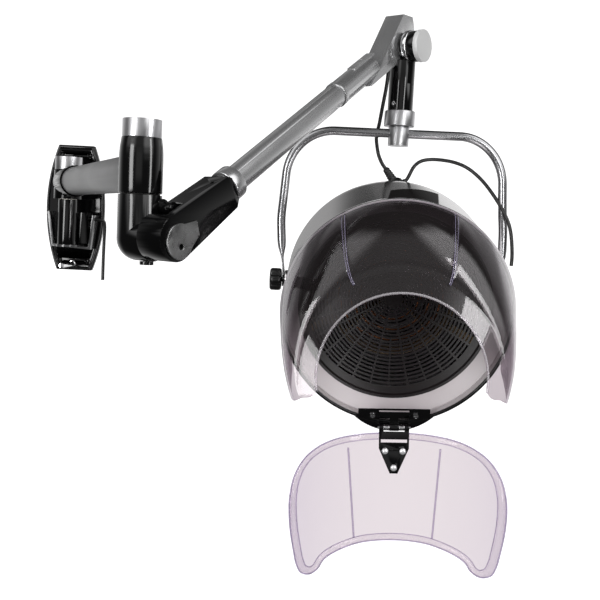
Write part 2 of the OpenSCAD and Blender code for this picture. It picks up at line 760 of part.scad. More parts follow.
// curved wall about the closed visor's axis, outside radius and thickness, cut to an outline
module visor_skin(r_out, r_in) {
    intersection() {
        translate([0, 180, 0]) z_ring(r_out, r_in, 0, 230, $fn = 180);
        rotate([90, 0, 0]) translate([0, 0, -120]) linear_extrude(130) children();
    }
}
module lower_visor() {
    color([0.75, 0.7, 0.75, 0.4]) visor_frame() {
        difference() {
            union() {
                visor_skin(180 + visor_wall, 180) visor_outline(0);
                visor_skin(181.5 + visor_wall, 182) difference() {
                    visor_outline(0);
                    visor_outline(10);
                }
                visor_skin(181.5 + visor_wall, 182) for (s = [-1, 1])
                    polygon([[68 * s, 26], [72 * s, 26], [62 * s, 182], [58 * s, 182]]);
            }
            for (x = [-13.5, 13.5]) translate([x, 0, 36]) n_cyl(2, -5, 8);
            translate([0, 0, 62]) n_cyl(2, -5, 8);
        }
    }
}
module hinge_tongue() {
    color([0.04, 0.04, 0.04]) visor_frame() difference() {
        union() {
            n_plate(-2.9, -0.4) polygon([[-23, 3], [23, 3], [23, 32], [9, 64], [6, 71], [-6, 71], [-9, 64], [-23, 32]]);
            for (s = [-1, 1]) translate([19.5 * s, 0, 0]) {
                x_cyl(5.2, -3.5, 3.5);
                box([-3.5, 0.4, 0], [3.5, 2.9, 8]);
            }
        }
        x_cyl(6.2, -16, 16);
        x_cyl(hinge_pin_r + gap, -30, 30);
        box([-20, 0, 18], [20, 4, 23]);
        translate([0, 180, 0]) z_ring(188, 179.9, 14, 100, $fn = 180);
        for (x = [-13.5, 13.5]) translate([x, 0, 36]) n_cyl(2, -5, 2);
        translate([0, 0, 62]) n_cyl(2, -5, 2);
    }
}
module hinge_rivets() {
    color([0.85, 0.85, 0.87]) visor_frame() for (p = [[-13.5, 36], [13.5, 36], [0, 62]])
        translate([p[0], 0, p[1]]) {
            n_cyl(2, -3, 4.6);
            n_cyl(4.4, 4.6, 5.8);
            n_cyl(4.4, -5, -2.9);
        }
}

wall_plate();
pivot_bracket();
bracket_box();
wall_post();
wall_cap();
wall_stud();
power_cord();
wall_bushes();
wall_knuckle();
first_tube();
elbow_sleeve();
elbow_cap();
elbow_post();
elbow_housing();
elbow_bush();
spring_anchor();
tilt_pin();
friction_knob();
arm_housing();
side_cover();
arm_collar();
arm_tube();
end_sleeve();
head_bracket();
balance_spring();
spring_rod();
hub_washer();
hub_ring();
drop_knuckle();
hub_cap();
hub_axle();
drop_tube();
tube_screw();
drop_collar();
swivel_bush();
head_cable();
yoke_boss();
yoke_tube();
lamp_cable();
knob_left();
knob_right();
outer_shell();
rim_trim();
inner_basket();
upper_visor();
hinge_plate();
hinge_screws();
hinge_apron();
hinge_pin();
hinge_springs();
motor_plate();
motor();
fan();
heater_frame();
heater_coil();
cable_boot();
hood_cable();
hinge_tongue();
hinge_rivets();
lower_visor();
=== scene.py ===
"""Looks of the wall-hung hood dryer. Metres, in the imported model's frame."""

import math

import bmesh
import bpy
import numpy as np
from mathutils import Matrix, Vector, geometry


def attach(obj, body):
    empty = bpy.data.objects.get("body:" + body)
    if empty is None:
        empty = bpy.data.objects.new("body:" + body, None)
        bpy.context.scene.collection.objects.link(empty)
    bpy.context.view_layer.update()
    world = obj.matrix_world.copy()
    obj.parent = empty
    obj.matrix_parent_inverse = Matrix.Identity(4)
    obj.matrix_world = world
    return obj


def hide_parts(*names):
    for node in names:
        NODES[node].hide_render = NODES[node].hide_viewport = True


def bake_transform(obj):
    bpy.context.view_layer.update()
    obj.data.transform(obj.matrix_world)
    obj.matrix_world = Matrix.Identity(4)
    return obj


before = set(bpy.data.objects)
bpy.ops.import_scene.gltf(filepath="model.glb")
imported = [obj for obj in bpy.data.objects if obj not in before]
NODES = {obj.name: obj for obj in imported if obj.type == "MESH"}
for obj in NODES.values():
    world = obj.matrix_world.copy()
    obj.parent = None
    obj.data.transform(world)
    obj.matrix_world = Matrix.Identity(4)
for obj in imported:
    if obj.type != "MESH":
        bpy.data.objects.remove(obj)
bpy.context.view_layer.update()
MM = 0.001


# ---------------------------------------------------------------- frames
def turn(axis, degrees):
    return Matrix.Rotation(math.radians(degrees), 4, axis)


def move(x, y, z):
    return Matrix.Translation((x * MM, y * MM, z * MM))


FIRST_YAW, FIRST_LEN, ELBOW_TURN = 24.5, 545.0, 119.0
PLANE_OFF, TILT_Z, LIFT, SPRING_LEN = 48.0, -35.0, 32.4, 600.0
DROP_N, DROP_LEN, HOOD_YAW, HOOD_TILT = 15.0, 389.2, -1.4, 11.0
VISOR_CLOCK, VISOR_OPEN = 2.5, 78.0
HOOD_R, HOOD_WALL, HOOD_DEPTH = 172.5, 2.5, 166.0

WALL = move(0, -62, 0)
FIRST = WALL @ turn("Z", FIRST_YAW - 90)
ELBOW = FIRST @ move(FIRST_LEN, 0, 0) @ turn("Z", ELBOW_TURN)
TILT = ELBOW @ move(0, -PLANE_OFF, TILT_Z)
SPRING = TILT @ turn("Y", -LIFT)
HEAD = TILT @ move(SPRING_LEN * math.cos(math.radians(LIFT)), 0, SPRING_LEN * math.sin(math.radians(LIFT)))
YOKE = HEAD @ move(0, -DROP_N, -DROP_LEN) @ turn("Z", HOOD_YAW - (FIRST_YAW - 90 + ELBOW_TURN))
HOOD = YOKE @ turn("X", 90 + HOOD_TILT)
CLOCK = HOOD @ turn("Z", VISOR_CLOCK)
VISOR = CLOCK @ move(0, -178, 180) @ turn("X", VISOR_OPEN)
BOOT = HOOD @ turn("X", -113) @ move(4, 0, HOOD_R - 1.5)


# ---------------------------------------------------------------- materials
def new_material(name):
    mat = bpy.data.materials.new(name)
    mat.use_nodes = True
    tree = mat.node_tree
    tree.nodes.clear()
    return mat, tree, tree.nodes.new("ShaderNodeOutputMaterial")


def noise(tree, scale, detail=4.0, stretch=(1, 1, 1)):
    coord = tree.nodes.new("ShaderNodeTexCoord")
    mapping = tree.nodes.new("ShaderNodeMapping")
    mapping.inputs["Scale"].default_value = stretch
    tex = tree.nodes.new("ShaderNodeTexNoise")
    tex.inputs["Scale"].default_value = scale
    tex.inputs["Detail"].default_value = detail
    tree.links.new(coord.outputs["Object"], mapping.inputs["Vector"])
    tree.links.new(mapping.outputs["Vector"], tex.inputs["Vector"])
    return tex.outputs["Fac"]


def remap(tree, value, low, high):
    node = tree.nodes.new("ShaderNodeMapRange")
    node.inputs["From Min"].default_value = 0.3
    node.inputs["From Max"].default_value = 0.7
    node.inputs["To Min"].default_value = low
    node.inputs["To Max"].default_value = high
    tree.links.new(value, node.inputs["Value"])
    return node.outputs["Result"]


def mix_color(tree, factor, a, b):
    node = tree.nodes.new("ShaderNodeMix")
    node.data_type = "RGBA"
    tree.links.new(factor, node.inputs["Factor"])
    node.inputs[6].default_value = (*a, 1)
    node.inputs[7].default_value = (*b, 1)
    return node.outputs[2]


def bump(tree, height, strength, distance):
    node = tree.nodes.new("ShaderNodeBump")
    node.inputs["Strength"].default_value = strength
    node.inputs["Distance"].default_value = distance
    tree.links.new(height, node.inputs["Height"])
    return node.outputs["Normal"]


def solid(name, low, high, rough, metallic=0.0, coat=0.0, cloud=9.0, grain=900.0, grain_depth=0.00004,
          grain_strength=0.2, stretch=(1, 1, 1), anisotropic=0.0, specular=0.5):
    """Opaque material: colour and roughness drift between two values, with a fine surface grain."""
    mat, tree, out = new_material(name)
    shader = tree.nodes.new("ShaderNodeBsdfPrincipled")
    drift = noise(tree, cloud, 3.0)
    fine = noise(tree, grain, 2.0, stretch)
    tree.links.new(mix_color(tree, drift, low, high), shader.inputs["Base Color"])
    tree.links.new(remap(tree, drift, *rough), shader.inputs["Roughness"])
    tree.links.new(bump(tree, fine, grain_strength, grain_depth), shader.inputs["Normal"])
    shader.inputs["Metallic"].default_value = metallic
    shader.inputs["Coat Weight"].default_value = coat
    shader.inputs["Coat Roughness"].default_value = 0.04
    shader.inputs["Anisotropic"].default_value = anisotropic
    shader.inputs["Specular IOR Level"].default_value = specular
    tree.links.new(shader.outputs[0], out.inputs["Surface"])
    return mat


def math_node(tree, op, a, b=None):
    node = tree.nodes.new("ShaderNodeMath")
    node.operation = op
    for i, v in enumerate((a, b)):
        if v is None:
            continue
        if isinstance(v, (int, float)):
            node.inputs[i].default_value = v
        else:
            tree.links.new(v, node.inputs[i])
    return node.outputs[0]


def soft_step(tree, value, a, b):
    """0 at a, 1 at b, smooth between; a may be above b."""
    node = tree.nodes.new("ShaderNodeMapRange")
    node.interpolation_type = "SMOOTHSTEP"
    low, high = min(a, b), max(a, b)
    node.inputs["From Min"].default_value = low
    node.inputs["From Max"].default_value = high
    node.inputs["To Min"].default_value = 0.0 if a < b else 1.0
    node.inputs["To Max"].default_value = 1.0 if a < b else 0.0
    tree.links.new(value, node.inputs["Value"])
    return node.outputs["Result"]


def clear_sheet(name, face, edge, haze, rough, haze_color, gloss=1.0):
    """Thin clear acrylic: tint deepens where it is seen edge on, with a clear-coat reflection."""
    mat, tree, out = new_material(name)
    facing = tree.nodes.new("ShaderNodeLayerWeight")
    facing.inputs["Blend"].default_value = 0.42
    drift = noise(tree, 6.0, 3.0)
    tint = mix_color(tree, facing.outputs["Facing"], face, edge)
    see = tree.nodes.new("ShaderNodeBsdfTransparent")
    tree.links.new(tint, see.inputs["Color"])
    milk = tree.nodes.new("ShaderNodeBsdfDiffuse")
    milk.inputs["Color"].default_value = (*haze_color, 1)
    body = tree.nodes.new("ShaderNodeMixShader")
    tree.links.new(remap(tree, drift, haze * 0.8, haze * 1.2), body.inputs["Fac"])
    tree.links.new(see.outputs[0], body.inputs[1])
    tree.links.new(milk.outputs[0], body.inputs[2])
    shine = tree.nodes.new("ShaderNodeBsdfGlossy")
    shine.inputs["Color"].default_value = (1, 1, 1, 1)
    tree.links.new(remap(tree, drift, rough * 0.7, rough * 1.3), shine.inputs["Roughness"])
    wave = bump(tree, noise(tree, 5.0, 0.0), 0.08, 0.002)
    tree.links.new(wave, shine.inputs["Normal"])
    fresnel = tree.nodes.new("ShaderNodeFresnel")
    side = tree.nodes.new("ShaderNodeNewGeometry")
    both_sides = tree.nodes.new("ShaderNodeMapRange")
    both_sides.inputs["To Min"].default_value = 1.45
    both_sides.inputs["To Max"].default_value = 1 / 1.45
    tree.links.new(side.outputs["Backfacing"], both_sides.inputs["Value"])
    tree.links.new(both_sides.outputs["Result"], fresnel.inputs["IOR"])
    whole = tree.nodes.new("ShaderNodeMixShader")
    tree.links.new(math_node(tree, "MULTIPLY", fresnel.outputs[0], gloss), whole.inputs["Fac"])
    tree.links.new(body.outputs[0], whole.inputs[1])
    tree.links.new(shine.outputs[0], whole.inputs[2])
    tree.links.new(whole.outputs[0], out.inputs["Surface"])
    return mat


M = {
    "enamel": solid("black_enamel", (0.0016, 0.0016, 0.0017), (0.003, 0.003, 0.0032), (0.07, 0.12),
                    grain=260.0,
                    grain_depth=0.00004, grain_strength=0.12),
    "moulded": solid("black_moulded", (0.005, 0.005, 0.005), (0.009, 0.009, 0.009), (0.22, 0.32),
                     grain=1500.0,
                     grain_strength=0.3),
    "matt": solid("black_matt", (0.0045, 0.003, 0.003), (0.007, 0.0048, 0.0048), (0.36, 0.48), grain=2200.0,
                  grain_strength=0.3, specular=0.3),
    "rubber": solid("black_rubber", (0.007, 0.007, 0.007), (0.012, 0.012, 0.012), (0.3, 0.42), grain=1200.0,
                    grain_strength=0.3),
    "dark_grey": solid("dark_grey_enamel", (0.05, 0.05, 0.052), (0.09, 0.09, 0.092), (0.14, 0.26), coat=0.4,
                       metallic=0.2, cloud=30.0),
    "chrome": solid("chrome", (0.72, 0.72, 0.73), (0.80, 0.80, 0.81), (0.04, 0.08), metallic=1.0, cloud=5.0,
                    grain=90.0, grain_depth=0.00002, grain_strength=0.06),
    "chrome_bar": solid("chrome_bar", (0.32, 0.32, 0.33), (0.40, 0.40, 0.41), (0.20, 0.28), metallic=1.0,
                        cloud=5.0,
                        grain=90.0, grain_depth=0.00002, grain_strength=0.06),
    "chrome_hood": solid("chrome_hood", (0.60, 0.58, 0.585), (0.66, 0.64, 0.645), (0.09, 0.14),
                         metallic=1.0,
                         cloud=4.0, grain=60.0, grain_depth=0.00002, grain_strength=0.05),
    # Painted reflection: the inner wall's pale pinkish colour stands in for the white surroundings mirrored
    # in the chrome inside the shell; paint_shade below adds painted shade toward the top.
    "inner_wall": solid("inner_wall_painted_reflection_and_shade", (0.52, 0.49, 0.495), (0.60, 0.565, 0.57), (0.3, 0.4),
                        metallic=0.1,
                        cloud=12.0, grain=800.0),
    "chrome_soft": solid("chrome_soft", (0.46, 0.46, 0.47), (0.54, 0.54, 0.55), (0.30, 0.38), metallic=1.0,
                         cloud=5.0,
                         grain=90.0, grain_depth=0.00002, grain_strength=0.06),
    "satin_grey": solid("satin_grey_paint", (0.125, 0.125, 0.127), (0.15, 0.15, 0.152), (0.34, 0.44),
                        metallic=0.2,
                        grain=1800.0, grain_strength=0.15),
    "silver": solid("satin_silver", (0.46, 0.46, 0.465), (0.56, 0.56, 0.565), (0.20, 0.28), metallic=0.8,
                    grain=900.0, grain_strength=0.08),
    # Painted reflections: the cover's patchy light and dark drift stands in for reflections on it.
    "cover": solid("silver_cover_painted_reflections", (0.10, 0.10, 0.10), (0.34, 0.34, 0.34), (0.16, 0.34), metallic=0.85,
                   cloud=55.0, grain=900.0, grain_strength=0.1),
    "cap_grey": solid("pale_grey_cap", (0.64, 0.64, 0.64), (0.70, 0.70, 0.70), (0.34, 0.44), metallic=0.1,
                      grain=1500.0),
    "steel": solid("bare_steel", (0.42, 0.42, 0.43), (0.52, 0.52, 0.53), (0.25, 0.36), metallic=1.0,
                   grain=1200.0, grain_strength=0.3),
    "nylon": solid("nylon", (0.62, 0.60, 0.55), (0.7, 0.68, 0.62), (0.4, 0.5), grain=1500.0),
    "wire": solid("resistance_wire", (0.30, 0.12, 0.05), (0.42, 0.18, 0.08), (0.35, 0.5), metallic=0.6,
                  grain=1500.0, grain_strength=0.3),
    "mica": solid("mica_board", (0.25, 0.18, 0.10), (0.33, 0.25, 0.15), (0.4, 0.6), grain=400.0,
                  grain_strength=0.3),
    "smoke": clear_sheet("smoked_acrylic", (0.72, 0.685, 0.705), (0.66, 0.62, 0.66), 0.012, 0.035,
                         (0.42, 0.37, 0.37)),
    "smoke_edge": clear_sheet("smoked_acrylic_edge", (0.90, 0.87, 0.90), (0.70, 0.65, 0.72), 0.26, 0.08,
                              (0.80, 0.78, 0.80)),
    # Partly painted highlight: the rear edge bead is real, and its milky pale colour stands in for the bright
    # line the edge catches.
    "polished_edge": clear_sheet("polished_edge", (0.95, 0.94, 0.95), (0.85, 0.83, 0.87), 0.55, 0.08,
                                 (0.92, 0.91, 0.92)),
    "rib_edge": clear_sheet("rib_edge", (0.86, 0.84, 0.92), (0.60, 0.55, 0.74), 0.2, 0.1,
                            (0.60, 0.56, 0.76), 0.5),
    "clear": clear_sheet("clear_acrylic", (0.83, 0.795, 0.81), (0.70, 0.66, 0.73), 0.012, 0.035,
                         (0.5, 0.47, 0.5), 0.35),
    "clear_edge": clear_sheet("clear_acrylic_edge", (0.985, 0.975, 0.985), (0.90, 0.87, 0.92), 0.02, 0.06,
                              (0.66, 0.62, 0.70), 0.5),
    "clear_line": clear_sheet("clear_acrylic_line", (0.84, 0.81, 0.88), (0.58, 0.53, 0.68), 0.10, 0.08,
                              (0.55, 0.50, 0.66), 0.5),
    "rivet": solid("polished_rivet", (0.80, 0.80, 0.81), (0.88, 0.88, 0.89), (0.26, 0.34), metallic=0.6,
                   grain=900.0, grain_strength=0.1),
    "broad": solid("black_enamel_soft", (0.0016, 0.0016, 0.0017), (0.003, 0.003, 0.0032), (0.09, 0.14),
                   grain=260.0,
                   grain_strength=0.12, specular=0.24),
}



def shade_upward(mat, low_z, high_z, dark):
    """Painted shade: multiply a solid material's colour by dark toward the top, between two heights in
    metres.
    """
    tree = mat.node_tree
    shader = next(n for n in tree.nodes if n.type == "BSDF_PRINCIPLED")
    link = shader.inputs["Base Color"].links[0]
    source = link.from_socket
    coord = tree.nodes.new("ShaderNodeTexCoord")
    split = tree.nodes.new("ShaderNodeSeparateXYZ")
    tree.links.new(coord.outputs["Object"], split.inputs[0])
    fade = soft_step(tree, split.outputs[2], low_z, high_z)
    node = tree.nodes.new("ShaderNodeMix")
    node.data_type = "RGBA"
    node.blend_type = "MULTIPLY"
    tree.links.new(fade, node.inputs["Factor"])
    tree.links.new(source, node.inputs[6])
    node.inputs[7].default_value = (dark, dark, dark, 1)
    tree.links.new(node.outputs[2], shader.inputs["Base Color"])


def paint_dark_reflection(mat, frame_matrix):
    """Painted reflection: a black block mirrored in the top of the hood's barrel, painted into the material
    and bounded in degrees round it and mm along it.
    """
    tree = mat.node_tree
    shader = next(n for n in tree.nodes if n.type == "BSDF_PRINCIPLED")
    out = next(n for n in tree.nodes if n.type == "OUTPUT_MATERIAL")
    coord = tree.nodes.new("ShaderNodeTexCoord")
    rows = frame_matrix.inverted()
    local = []
    for i in range(3):
        dot = tree.nodes.new("ShaderNodeVectorMath")
        dot.operation = "DOT_PRODUCT"
        dot.inputs[1].default_value = rows[i][:3]
        tree.links.new(coord.outputs["Object"], dot.inputs[0])
        local.append(math_node(tree, "MULTIPLY", math_node(tree, "ADD", dot.outputs["Value"], rows[i][3]),
                               1000.0))
    x, y, z = local
    angle = math_node(tree, "MULTIPLY", math_node(tree, "ARCTAN2", x, y), 180 / math.pi)
    top = math_node(tree, "ADD", z, math_node(tree, "MULTIPLY", angle, 2.23))
    lean = math_node(tree, "MULTIPLY", z, 0.04)
    mask = math_node(tree, "MULTIPLY", soft_step(tree, top, 73.0, 75.5),
                     math_node(tree, "MULTIPLY",
                               soft_step(tree, math_node(tree, "ADD", angle, lean), -2.4, -1.6),
                               soft_step(tree, math_node(tree, "ADD", angle, lean), 23.2, 22.4)))
    black = tree.nodes.new("ShaderNodeBsdfDiffuse")
    black.inputs["Color"].default_value = (0.006, 0.005, 0.005, 1)
    whole = tree.nodes.new("ShaderNodeMixShader")
    tree.links.new(math_node(tree, "MULTIPLY", mask, 0.94), whole.inputs["Fac"])
    tree.links.new(shader.outputs[0], whole.inputs[1])
    tree.links.new(black.outputs[0], whole.inputs[2])
    tree.links.new(whole.outputs[0], out.inputs["Surface"])


# Painted reflection: a black patch painted into the hood's chrome where the parts above it would be mirrored.
paint_dark_reflection(M["chrome_hood"], HOOD)
# Painted shade: the hood's inner wall is darkened toward the top.
shade_upward(M["inner_wall"], -0.25, -0.11, 0.12)

MATERIAL_OF = {
    "enamel": "wall_plate wall_post elbow_sleeve elbow_housing drop_knuckle drop_tube "
              "hinge_plate hinge_tongue spring_anchor bracket_box hub_washer friction_knob "
              "hinge_apron rim_trim "
              "elbow_bush",
    "broad": "arm_housing wall_knuckle",
    "dark_grey": "pivot_bracket",
    "matt": "inner_basket fan",
    "moulded": "knob_left knob_right",
    "rubber": "power_cord head_cable lamp_cable hood_cable cable_boot",
    "chrome_soft": "wall_cap elbow_cap drop_collar yoke_boss",
    "chrome": "wall_stud hub_ring tube_screw yoke_tube "
              "hinge_screws hinge_springs hinge_rivets",
    "chrome_hood": "outer_shell",
    "satin_grey": "first_tube",
    "cap_grey": "hub_cap",
    "silver": "arm_tube end_sleeve head_bracket arm_collar",
    "cover": "side_cover",
    "steel": "elbow_post tilt_pin balance_spring spring_rod hub_axle hinge_pin motor_plate motor",
    "nylon": "wall_bushes swivel_bush",
    "wire": "heater_coil",
    "mica": "heater_frame",
    "smoke": "upper_visor",
    "clear": "lower_visor",
}
BEVEL_OF = {
    "wall_plate": 1.6, "pivot_bracket": 0.9, "bracket_box": 1.5, "wall_cap": 1.2, "wall_knuckle": 0.6,
    "elbow_sleeve": 0.8, "elbow_cap": 1.4, "elbow_housing": 1.2, "arm_housing": 2.4, "side_cover": 0.8,
    "arm_collar": 1.2, "end_sleeve": 0.7, "head_bracket": 1.2, "hub_washer": 1.0, "hub_ring": 1.2,
    "drop_knuckle": 1.6, "hub_cap": 1.4, "drop_tube": 1.0, "drop_collar": 1.2, "yoke_boss": 1.2,
    "hinge_plate": 0.6, "hinge_tongue": 0.6, "hinge_rivets": 0.7, "hinge_screws": 0.5, "tube_screw": 0.5,
    "hinge_springs": 0.4, "hinge_apron": 0.8, "rim_trim": 1.4, "wall_stud": 0.6, "friction_knob": 0.9,
    "spring_anchor": 0.8, "tilt_pin": 0.6, "wall_post": 0.8, "first_tube": 0.5, "motor": 2.0, "fan": 0.5,
}

for key, names in MATERIAL_OF.items():
    for node in names.split():
        obj = NODES[node]
        obj.data.materials.clear()
        obj.data.materials.append(M[key])
for obj in NODES.values():
    weld = obj.modifiers.new("weld", "WELD")
    weld.merge_threshold = 0.00001
for node, width in BEVEL_OF.items():
    obj = NODES[node]
    for poly in obj.data.polygons:
        poly.use_smooth = True
    bevel = obj.modifiers.new("edge", "BEVEL")
    bevel.width = width * MM
    bevel.segments = 3
    bevel.limit_method = "ANGLE"
    bevel.angle_limit = math.radians(32)
    bevel.harden_normals = True
    bevel.use_clamp_overlap = True


# ---------------------------------------------------------------- mesh helpers
def add_piece(name, verts, faces, body, mat, replaces=(), slot=None, smooth=True):
    mesh = bpy.data.meshes.new(name)
    mesh.from_pydata([tuple(v) for v in verts], [], faces)
    mesh.validate()
    obj = bpy.data.objects.new(name, mesh)
    bpy.context.scene.collection.objects.link(obj)
    bm = bmesh.new()
    bm.from_mesh(mesh)
    bmesh.ops.remove_doubles(bm, verts=bm.verts, dist=1e-7)
    bmesh.ops.recalc_face_normals(bm, faces=bm.faces)
    bm.to_mesh(mesh)
    bm.free()
    for poly in mesh.polygons:
        poly.use_smooth = smooth
    mesh.materials.append(M[mat])
    if body:
        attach(obj, body)
    if replaces:
        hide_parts(*replaces)
    return obj


def sharpen(obj, degrees=34):
    """Sharp shading across edges steeper than this."""
    mesh = obj.data
    bm = bmesh.new()
    bm.from_mesh(mesh)
    limit = math.radians(degrees)
    for edge in bm.edges:
        if len(edge.link_faces) == 2 and edge.calc_face_angle(0) > limit:
            edge.smooth = False
    bm.to_mesh(mesh)
    bm.free()


def revolve(profile, matrix, segments=96, closed=True):
    """Verts and faces of a profile of (radius, height) in mm turned about local Z."""
    verts, faces = [], []
    n = len(profile)
    for s in range(segments):
        a = 2 * math.pi * s / segments
        for r, z in profile:
            verts.append(matrix @ Vector((r * math.cos(a) * MM, r * math.sin(a) * MM, z * MM)))
    spans = n if closed else n - 1
    for s in range(segments):
        t = (s + 1) % segments
        for k in range(spans):
            j = (k + 1) % n
            faces.append((s * n + k, t * n + k, t * n + j, s * n + j))
    return verts, faces


def smooth_path(points, rounds=3):
    pts = [Vector(p) for p in points]
    for _ in range(rounds):
        out = [pts[0]]
        for a, b in zip(pts, pts[1:]):
            out += [a * 0.75 + b * 0.25, a * 0.25 + b * 0.75]
        pts = out + [pts[-1]]
    return pts


def sweep(path, radius, sides=20, shape=None, ref=(0, 1, 0)):
    """Verts and faces of a round bar along a path in metres; shape(i) scales its two cross axes."""
    ref = Vector(ref)
    verts, faces = [], []
    for i, p in enumerate(path):
        t = (path[min(i + 1, len(path) - 1)] - path[max(i - 1, 0)]).normalized()
        b = ref.cross(t).normalized()
        c = t.cross(b)
        u, w = shape(i) if shape else (1.0, 1.0)
        for k in range(sides):
            a = 2 * math.pi * k / sides
            verts.append(p + b * (radius * u * math.cos(a)) + c * (radius * w * math.sin(a)))
    for i in range(len(path) - 1):
        for k in range(sides):
            j = (k + 1) % sides
            faces.append((i * sides + k, i * sides + j, (i + 1) * sides + j, (i + 1) * sides + k))
    faces.append(tuple(range(sides - 1, -1, -1)))
    faces.append(tuple(range((len(path) - 1) * sides, len(path) * sides)))
    return verts, faces


def merge(*parts):
    verts, faces = [], []
    for v, f in parts:
        base = len(verts)
        verts += list(v)
        faces += [tuple(i + base for i in face) for face in f]
    return verts, faces


# ---------------------------------------------------------------- hood shell
def shell_profile():
    r_in = HOOD_R - HOOD_WALL
    out = [(HOOD_R * math.sin(math.radians(a)) if a else 0.001, -HOOD_R * math.cos(math.radians(a)))
           for a in np.arange(0, 90.1, 2.5)]
    out += [(HOOD_R, z) for z in np.arange(10, HOOD_DEPTH - 3, 12)]
    out += [(HOOD_R, HOOD_DEPTH - 2.5), (HOOD_R + 0.6, HOOD_DEPTH - 1.0), (HOOD_R + 0.2, HOOD_DEPTH - 0.2),
            (HOOD_R - 1.2, HOOD_DEPTH), (r_in, HOOD_DEPTH - 0.6)]
    out += [(r_in, z) for z in np.arange(HOOD_DEPTH - 12, 5, -20)]
    out += [(r_in * math.sin(math.radians(a)) if a else 0.001, -r_in * math.cos(math.radians(a)))
            for a in np.arange(90, -0.1, -3)]
    return out


shell = revolve(shell_profile(), HOOD, 160, closed=False)
bosses = []
for side in (-1, 1):
    ring = [(5.0, HOOD_R - 3), (15.2, HOOD_R - 3), (16, HOOD_R - 2), (16, HOOD_R + 2.8),
            (15.2, HOOD_R + 3.9),
            (5.2, HOOD_R + 4), (5.0, HOOD_R + 3)]
    bosses.append(revolve(ring, HOOD @ turn("Y", 90 * side), 48))
hood = add_piece("hood_shell", *merge(shell, *bosses), "hood", "chrome_hood", ("outer_shell",),
                 "hood_chrome")
sharpen(hood, 40)
# The inner faces near the opening take the inner wall material with its painted reflection and painted shade.
hood.data.materials.append(M["inner_wall"])
to_hood = HOOD.inverted()
for poly in hood.data.polygons:
    at = to_hood @ poly.center / MM
    if math.hypot(at.x, at.y) < HOOD_R - 1.0 and at.z > 100:
        poly.material_index = 1


# ---------------------------------------------------------------- basket
def basket():
    """Bowl of rings and ribs with open slots between them, and a rolled flange."""
    rings, ribs, first, last = 22, 28, 15.0, 136.0
    pitch = (last - first) / rings
    radii, solid_row = [0.001, 6.0, first], [True, True]
    for k in range(rings):
        radii += [first + k * pitch + pitch * 0.5, first + (k + 1) * pitch]
        solid_row += [False, True]
    radii += [140.0, 143.6, 144.6, 145.6, 151.0]
    solid_row += [True, True, True, True, True]
    half_rib, between = 1.5, 4
    verts, faces = [], []
    per = between + 1
    columns = ribs * per
    for r in radii:
        for q in range(ribs):
            start = 2 * math.pi * q / ribs
            lean = min(0.42 * 2 * math.pi / ribs, half_rib / max(r, 1.0))
            stops = [start - lean] + [start + lean + (2 * math.pi / ribs - 2 * lean) * k / between
                                      for k in range(between)]
            for a in stops:
                z = 352 - math.sqrt(266.0 ** 2 - r ** 2) + (1.2 if abs(r - 144.6) < 0.1 else 0.0)
                verts.append(HOOD @ Vector((r * math.cos(a) * MM, r * math.sin(a) * MM, z * MM)))
    for i in range(len(radii) - 1):
        for c in range(columns):
            rib = c % per == 0
            thin = radii[i] < 60 and (c // per) % 2 == 1
            if solid_row[i] or (rib and not thin):
                d = (c + 1) % columns
                faces.append((i * columns + c, i * columns + d, (i + 1) * columns + d,
                              (i + 1) * columns + c))
    return verts, faces


grille = add_piece("basket_grille", *basket(), "hood", "matt", ("inner_basket",), "black_matt")
thick = grille.modifiers.new("wall", "SOLIDIFY")
thick.thickness = 2.4 * MM
thick.offset = 0.0
for poly in grille.data.polygons:
    poly.use_smooth = False
liner_ring = [(149.4, 131.6), (170.0, 149.0), (170.0, 152.0), (168.6, 152.6), (149.8, 135.2),
              (148.6, 134.2)]
liner = add_piece("basket_liner", *revolve(liner_ring, HOOD, 144), "hood", "inner_wall", (), "hood_chrome")
sharpen(liner, 40)


# ---------------------------------------------------------------- upper visor
RIB_LEFT, RIB_RIGHT = -28.2, 27.4


def legs_end(v):
    """Degrees from the top at which the sheet ends, from the rim (v = 0) to the arch (v = 1)."""
    end = 116.5 - 15 * v / 0.7 if v < 0.7 else 101.5 + 3 * (v - 0.7) / 0.3
    return end + 2.5 * math.sin(math.pi * v) - 2.2 * v


def visor_point(q, v, w):
    """Point of the upper visor in the hood's frame, at q radians round it and w mm under its outer face."""
    sq, cq = math.sin(q), math.cos(q)
    ra = HOOD_R + 2 - w
    a = Vector((ra * sq, ra * cq, HOOD_DEPTH + 6.6))
    a2 = Vector(((165 - w) * sq - 4, (165 - w) * cq, HOOD_DEPTH + 66))
    b = Vector(((140 - w) * sq - 2, -50 + (140 - w) * cq, 297 - w / 2 - 32.7 * cq))
    b2 = Vector(((165 - w) * sq - 4, -50 + (165 - w) * cq, 293 - w / 2 - 32.7 * cq))
    c = Vector((115 * sq - 2, -50 + 115 * 0.972 * cq, 305 - w - 26.8 * cq))
    if v <= 0.7:
        t = v / 0.7
        return (1 - t) ** 3 * a + 3 * t * (1 - t) ** 2 * a2 + 3 * t * t * (1 - t) * b2 + t ** 3 * b
    u = (v - 0.7) / 0.3
    return (1 - u) * b + u * c


def corner_cut(v):
    """Degrees by which the legs' ends are rounded near the rim and near the arch."""
    d = max(0.0, abs(2 * v - 1) - 0.66) / 0.34
    return 7.5 * (1 - math.sqrt(max(0.0, 1 - d * d)))


